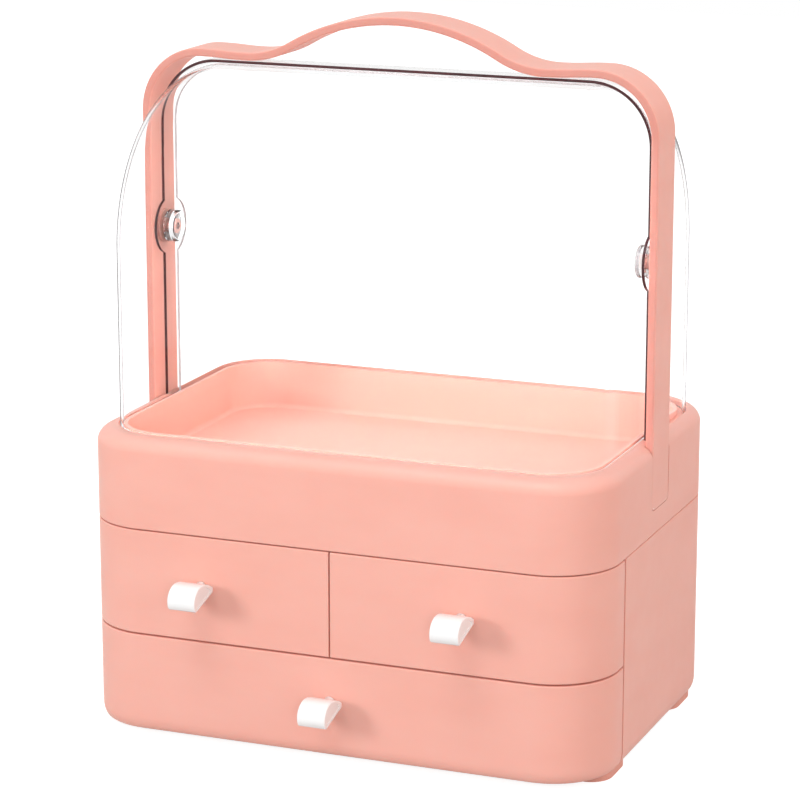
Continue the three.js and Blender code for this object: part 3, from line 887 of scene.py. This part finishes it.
def make_handle():
    """The strap: its section drawn up one side, bent along its line and drawn down the other."""
    foot_z = RIM_Z - SLOT_DROP + TOUCH_GAP
    root_x = HALF_WIDTH - STRAP_THICK / 2
    handle = plane("handle_strap", (root_x, MIDDLE_Y, foot_z), STRAP_THICK, STRAP_WIDTH)
    pick(handle, "VERT", lambda v: True)
    bpy.ops.mesh.bevel(offset=STRAP_ROUND, segments=5, affect="VERTICES")
    pick(handle, "FACE", lambda f: True)
    place = Vector((HALF_WIDTH, foot_z))
    heading = pi / 2
    upright_length = SHOULDER_Z - SHOULDER_RADIUS - foot_z
    turn = 2 * atan(HUMP_RISE / DIP_REACH)
    dip_radius = DIP_REACH / sin(turn) - HUMP_RADIUS
    ease = HALF_WIDTH - SHOULDER_RADIUS - DIP_REACH
    ease_turn = 2 * atan(DIP_DROP / ease)
    ease_radius = ease / 2 / sin(ease_turn)
    to_hump = [
        (SHOULDER_RADIUS, pi / 2, SHOULDER_STEPS),
        (ease_radius, ease_turn, EASE_STEPS),
        (ease_radius, -ease_turn, EASE_STEPS),
        (dip_radius, -turn, DIP_STEPS),
    ]
    hump = (HUMP_RADIUS, 2 * turn, HUMP_STEPS)
    extrude(0, 0, upright_length)
    place.y += upright_length
    for radius, angle, steps in [*to_hump, hump, *reversed(to_hump)]:
        side = 1 if angle > 0 else -1
        leftward = Vector((-sin(heading), cos(heading)))
        centre = place + leftward * radius * side
        middle = (centre.x, MIDDLE_Y, centre.y)
        bpy.ops.mesh.spin(steps=steps, angle=abs(angle), center=middle, axis=(0, side, 0))
        heading += angle
        leftward = Vector((-sin(heading), cos(heading)))
        place = centre - leftward * radius * side
    extrude(0, 0, -upright_length)
    merge(handle)
    reach = HALF_WIDTH + OVERRUN
    low = (-reach, MIDDLE_Y - STRAP_WIDTH / 2, foot_z)
    high = (reach, MIDDLE_Y + STRAP_WIDTH / 2, SHOULDER_Z + HUMP_RISE + OVERRUN)
    joined(handle, "INTERSECT", [foot_bar("foot_bar", low, high)])
    collar_x = REAR_SHELL[0] + TOUCH_GAP
    stub_x = FRONT_SHELL[0] - SHELL_WALL - RIDGE_GAP
    bore_x = stub_x + STUB_BORE_DEPTH
    for side in (-1, 1):
        root = on_axis(side * root_x)
        collar = rod("collar", COLLAR_RADIUS, on_axis(side * collar_x), root)
        stub = rod("stub", STUB_RADIUS, on_axis(side * stub_x), root)
        bore = rod("bore", STUB_BORE, on_axis(side * (stub_x - OVERRUN)), on_axis(side * bore_x))
        add(handle, collar, stub, catch("catch", side, 0))
        cut(handle, bore)
    soften(handle, STRAP_EDGE)
    finished(handle, "handle", "body", STRAP)


# Knobs, screws, pivots and feet


def grip_heights(reach, inset):
    """Bottom and top of the knob's grip, or of the panel in its side, at a reach from the drawer."""
    neck, nose = KNOB_NECK + 2 * inset, KNOB_REACH - inset
    half = KNOB_NECK_HEIGHT / 2 - min(inset, KNOB_NECK_HEIGHT / 4)
    crest, lip = KNOB_CREST - inset, KNOB_LIP - inset
    if reach < KNOB_CREST_REACH:
        share = (reach - neck) / (KNOB_CREST_REACH - neck)
        top = (1 - share) ** 2 * half + (2 - share) * share * crest
    else:
        share = (reach - KNOB_CREST_REACH) / (nose - KNOB_CREST_REACH)
        top = (crest + KNOB_NOSE) * sqrt(max(1 - share ** 2, 0)) - KNOB_NOSE
    lip_reach = nose - KNOB_LIP_BACK
    if reach < lip_reach:
        bottom = -half - (lip - half) * (reach - neck) / (lip_reach - neck)
    else:
        share = (reach - lip_reach) / KNOB_LIP_BACK
        bottom = -KNOB_NOSE - (lip - KNOB_NOSE) * sqrt(max(1 - share ** 2, 0))
    return bottom, top


def grip(name, inset, half_width):
    """The knob's grip, or the panel sunk in its sides, drawn out from its neck to its nose."""
    neck, nose = KNOB_NECK + 2 * inset, KNOB_REACH - inset
    reaches = [neck + (nose - neck) * sin(i / GRIP_STEPS * pi / 2) for i in range(1, GRIP_STEPS + 1)]
    bottom, top = grip_heights(neck, inset)
    piece = block(name, (-half_width, -reaches[0], bottom), (half_width, -neck, top))
    pick(piece, "FACE", ends_at(1, -reaches[0]))
    before = reaches[0]
    for reach in reaches:
        middle, height = (bottom + top) / 2, top - bottom
        bottom, top = grip_heights(reach, inset)
        if reach > before:
            extrude(0, before - reach, 0)
        centre = (bottom + top) / 2
        scale = max((top - bottom) / height, LEAST_SCALE)
        bpy.ops.transform.translate(value=(0, 0, centre - middle))
        bpy.ops.transform.resize(value=(1, 1, scale), center_override=(0, -reach, centre))
        before = reach
    merge(piece)
    pick(piece, "FACE", lambda f: True)
    bpy.ops.mesh.dissolve_limited(angle_limit=radians(FLAT_ANGLE))
    begin()
    return piece


def make_knobs():
    """The knob, modelled once about the place where its stem meets the drawer's front."""
    knob = grip("knob", 0, KNOB_WIDTH / 2 - KNOB_ROUND)
    for side in (-1, 1):
        flank = ends_at(0, side * (KNOB_WIDTH / 2 - KNOB_ROUND))
        fillet_up(knob, flank, KNOB_ROUND, KNOB_ROUND, steps=5)
    for side in (-1, 1):
        panel = grip("side_panel", KNOB_PANEL_RIM, OVERRUN)
        pick(panel, "VERT", lambda v: True)
        panel_x = side * (KNOB_WIDTH / 2 - KNOB_PANEL_DEPTH + OVERRUN)
        bpy.ops.transform.translate(value=(panel_x, 0, 0))
        begin()
        cut(knob, panel)
    add(knob, rod("stem", STEM_RADIUS, (0, -TOUCH_GAP, 0), (0, -STEM_LENGTH, 0)))
    cut(knob, rod("bore", STEM_BORE, (0, OVERRUN, 0), (0, -BORE_DEPTH, 0), sides=32))
    soften(knob, KNOB_EDGE, FINE_SOFTEN_ANGLE)
    for drawer in DRAWERS:
        low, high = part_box("knob_screw_" + drawer)
        place = ((low.x + high.x) / 2, MIDDLE_Y - HALF_DEPTH, (low.z + high.z) / 2)
        node = "knob_" + drawer
        finished(copied(knob, node + "_grip", place), node, drawer + "_drawer", WHITE)
    bpy.data.objects.remove(knob)


def make_screw(name, length):
    """Pan-headed screw along +Z from its head's face, with a crossed drive and a cut thread."""
    screw = rod(name, HEAD_RADIUS, (0, 0, 0), (0, 0, HEAD_THICK), sides=48)
    bevel(screw, ends_at(2, 0), HEAD_ROUND, steps=6)
    pick(screw, "FACE", ends_at(2, HEAD_THICK))
    bpy.ops.mesh.inset(thickness=HEAD_RADIUS - SHANK_RADIUS, depth=0)
    core = 1 - THREAD_DEPTH / SHANK_RADIUS
    for _ in range(int(length / THREAD_PITCH)):
        for scale in (core, 1 / core):
            extrude(0, 0, THREAD_PITCH / 2)
            bpy.ops.transform.resize(value=(scale, scale, 1))
    begin()
    reach, half = HEAD_RADIUS + OVERRUN, DRIVE_WIDTH / 2
    cut(
        screw,
        block("drive", (-reach, -half, -OVERRUN), (reach, half, DRIVE_DEPTH)),
        block("drive", (-half, -reach, -OVERRUN), (half, reach, DRIVE_DEPTH)),
    )
    return screw


def place_screws(screw, nodes, turn):
    """Copies a screw to its CAD nodes' places, each on its body and turned the same way."""
    for node, body in nodes.items():
        low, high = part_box(node)
        middle = (low + high) / 2
        place = (middle.x, high.y, middle.z) if turn[0] else (middle.x, middle.y, low.z)
        finished(copied(screw, node + "_steel", place, turn), node, body, STEEL)
    bpy.data.objects.remove(screw)


def make_pivots():
    """Snap caps and spacing rings of the pivots, modelled on the right and copied to the left."""
    low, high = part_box("pivot_cap_right")
    radius = (high.z - low.z) / 2
    cap_x = low.x + CAP_THICK
    cap = rod("pivot_cap", radius, on_axis(low.x), on_axis(cap_x))
    bevel(cap, ends_at(0, low.x), CAP_ROUND, steps=8)
    pick(cap, "FACE", ends_at(0, cap_x))
    bpy.ops.mesh.inset(thickness=radius - CAP_STEM, depth=0)
    extrude(high.x - cap_x, 0, 0)
    bevel(cap, ends_at(0, high.x), CAP_TIP_ROUND, steps=3)
    low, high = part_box("pivot_washer_right")
    ring = rod("pivot_ring", radius, on_axis(low.x), on_axis(high.x))
    ends = on_axis(low.x - OVERRUN), on_axis(high.x + OVERRUN)
    cut(ring, rod("hole", STUB_RADIUS + TOUCH_GAP, *ends))
    soften(ring, RING_EDGE)
    for piece, node in ((cap, "pivot_cap"), (ring, "pivot_washer")):
        left = copied(piece, node + "_left_clear", (0, 2 * MIDDLE_Y, 0), (0, 0, pi))
        finished(left, node + "_left", "body", CLEAR)
        piece.name = node + "_right_clear"
        finished(piece, node + "_right", "body", CLEAR)


def make_feet():
    low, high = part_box("foot_front_right")
    foot = block("foot_pad", low, high)
    bevel(foot, upright, (high.x - low.x) / 2 - SAME, steps=16)
    bevel(foot, level_rim(low.z), FOOT_ROUND, steps=5)
    bevel(foot, level_rim(high.z), FOOT_ROUND, steps=5)
    for corner in ("rear_right", "rear_left", "front_left", "front_right"):
        node = "foot_" + corner
        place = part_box(node)[0] - low
        finished(copied(foot, node + "_pad", place), node, "body", RUBBER)
    bpy.data.objects.remove(foot)


# Floor, lamps and camera


def light_path_mix(tree, seen, other):
    """Shows one shader to the camera, in reflections and through glass, else the other."""
    path = tree.nodes.new("ShaderNodeLightPath")
    looking = path.outputs["Is Camera Ray"]
    for kind in ("Is Glossy Ray", "Is Transmission Ray"):
        either = tree.nodes.new("ShaderNodeMath")
        either.operation = "MAXIMUM"
        tree.links.new(looking, either.inputs[0])
        tree.links.new(path.outputs[kind], either.inputs[1])
        looking = either.outputs["Value"]
    mix = tree.nodes.new("ShaderNodeMixShader")
    tree.links.new(looking, mix.inputs["Fac"])
    tree.links.new(other, mix.inputs[1])
    tree.links.new(seen, mix.inputs[2])
    return mix.outputs["Shader"]


def light_world():
    world = bpy.data.worlds.new("studio")
    bpy.context.scene.world = world
    world.use_nodes = True
    tree = world.node_tree
    seen, other = tree.nodes["Background"], tree.nodes.new("ShaderNodeBackground")
    for background, strength in ((seen, 1), (other, AMBIENT)):
        background.inputs["Color"].default_value = WORLD_SHADE
        background.inputs["Strength"].default_value = strength
    shown = light_path_mix(tree, seen.outputs["Background"], other.outputs["Background"])
    tree.links.new(shown, tree.nodes["World Output"].inputs["Surface"])


def lay_floor():
    begin()
    bpy.ops.mesh.primitive_plane_add(size=FLOOR_SIZE, location=(0, 0, 0))
    floor = settled("floor")
    material = bpy.data.materials.new("pale_floor")
    material.use_nodes = True
    tree = material.node_tree
    plain = tree.nodes["Principled BSDF"]
    plain.inputs["Base Color"].default_value = (*FLOOR_SHADE, 1)
    plain.inputs["Roughness"].default_value = 0.9
    glow = tree.nodes.new("ShaderNodeEmission")
    glow.inputs["Strength"].default_value = FLOOR_GLOW
    lit = tree.nodes.new("ShaderNodeAddShader")
    tree.links.new(plain.outputs["BSDF"], lit.inputs[0])
    tree.links.new(glow.outputs["Emission"], lit.inputs[1])
    shown = light_path_mix(tree, lit.outputs["Shader"], plain.outputs["BSDF"])
    tree.links.new(shown, tree.nodes["Material Output"].inputs["Surface"])
    floor.data.materials.append(material)


def hang_lamp(name, turn_right, rise, distance, size, power, tint=(1, 1, 1), mirrored=False):
    """A square soft lamp that points at the middle of the box, turned and raised from its front."""
    begin()
    across, height = distance * cos(radians(rise)), distance * sin(radians(rise))
    way = Vector((across * sin(radians(turn_right)), -across * cos(radians(turn_right)), height))
    place = Vector((0, 0, AIM_Z)) + way
    turn = way.to_track_quat("Z", "Y").to_euler()
    bpy.ops.object.light_add(type="AREA", location=place, rotation=turn)
    lamp = bpy.context.object
    lamp.name = name
    lamp.data.size = size
    lamp.data.energy = power
    lamp.data.color = tint
    lamp.visible_glossy = mirrored


def set_camera():
    begin()
    turn = (pi / 2 - CAMERA_PITCH, 0, CAMERA_YAW)
    bpy.ops.object.camera_add(location=CAMERA_PLACE, rotation=turn)
    camera = bpy.context.object
    camera.name = "camera"
    camera.data.lens = CAMERA_LENS
    camera.data.sensor_width = CAMERA_SENSOR
    bpy.context.scene.camera = camera


set_camera()
light_world()
lay_floor()
hang_lamp("key_lamp", turn_right=-35, rise=16, distance=2.2, size=0.6, power=15)
hang_lamp("side_lamp", turn_right=85, rise=20, distance=2, size=1.2, power=10, tint=(1, 0.8, 0.72))
hang_lamp("corner_lamp", turn_right=24, rise=12, distance=1.9, size=0.5, power=6)
hang_lamp(
    "top_lamp",
    turn_right=-10,
    rise=62,
    distance=1.8,
    size=0.8,
    power=9,
    tint=(0.92, 0.98, 1),
    mirrored=True,
)
bpy.context.scene.view_settings.view_transform = "Standard"

make_cabinet()
for drawer, side_of_middle in DRAWERS.items():
    make_drawer_front(drawer, side_of_middle)
    make_drawer_box(drawer, side_of_middle)
make_tray()
make_cover("rear_cover", REAR_SHELL, rear_cover_low.z, 1, REAR_LAP, "body", REAR_PAINTED_SHADE_EDGE)
make_cover("front_cover", FRONT_SHELL, front_cover_low.z, -1, FRONT_LAP, "flip_cover", FRONT_PAINTED_LIGHT_EDGE)
make_handle()
make_knobs()
place_screws(
    make_screw("knob_screw", KNOB_SCREW_LENGTH),
    {"knob_screw_" + drawer: drawer + "_drawer" for drawer in DRAWERS},
    (pi / 2, 0, 0),
)
place_screws(
    make_screw("tray_screw", TRAY_SCREW_LENGTH),
    {f"tray_screw_{end}_{side}": "body" for end in ("front", "rear") for side in ("left", "right")},
    (0, 0, 0),
)
make_pivots()
make_feet()
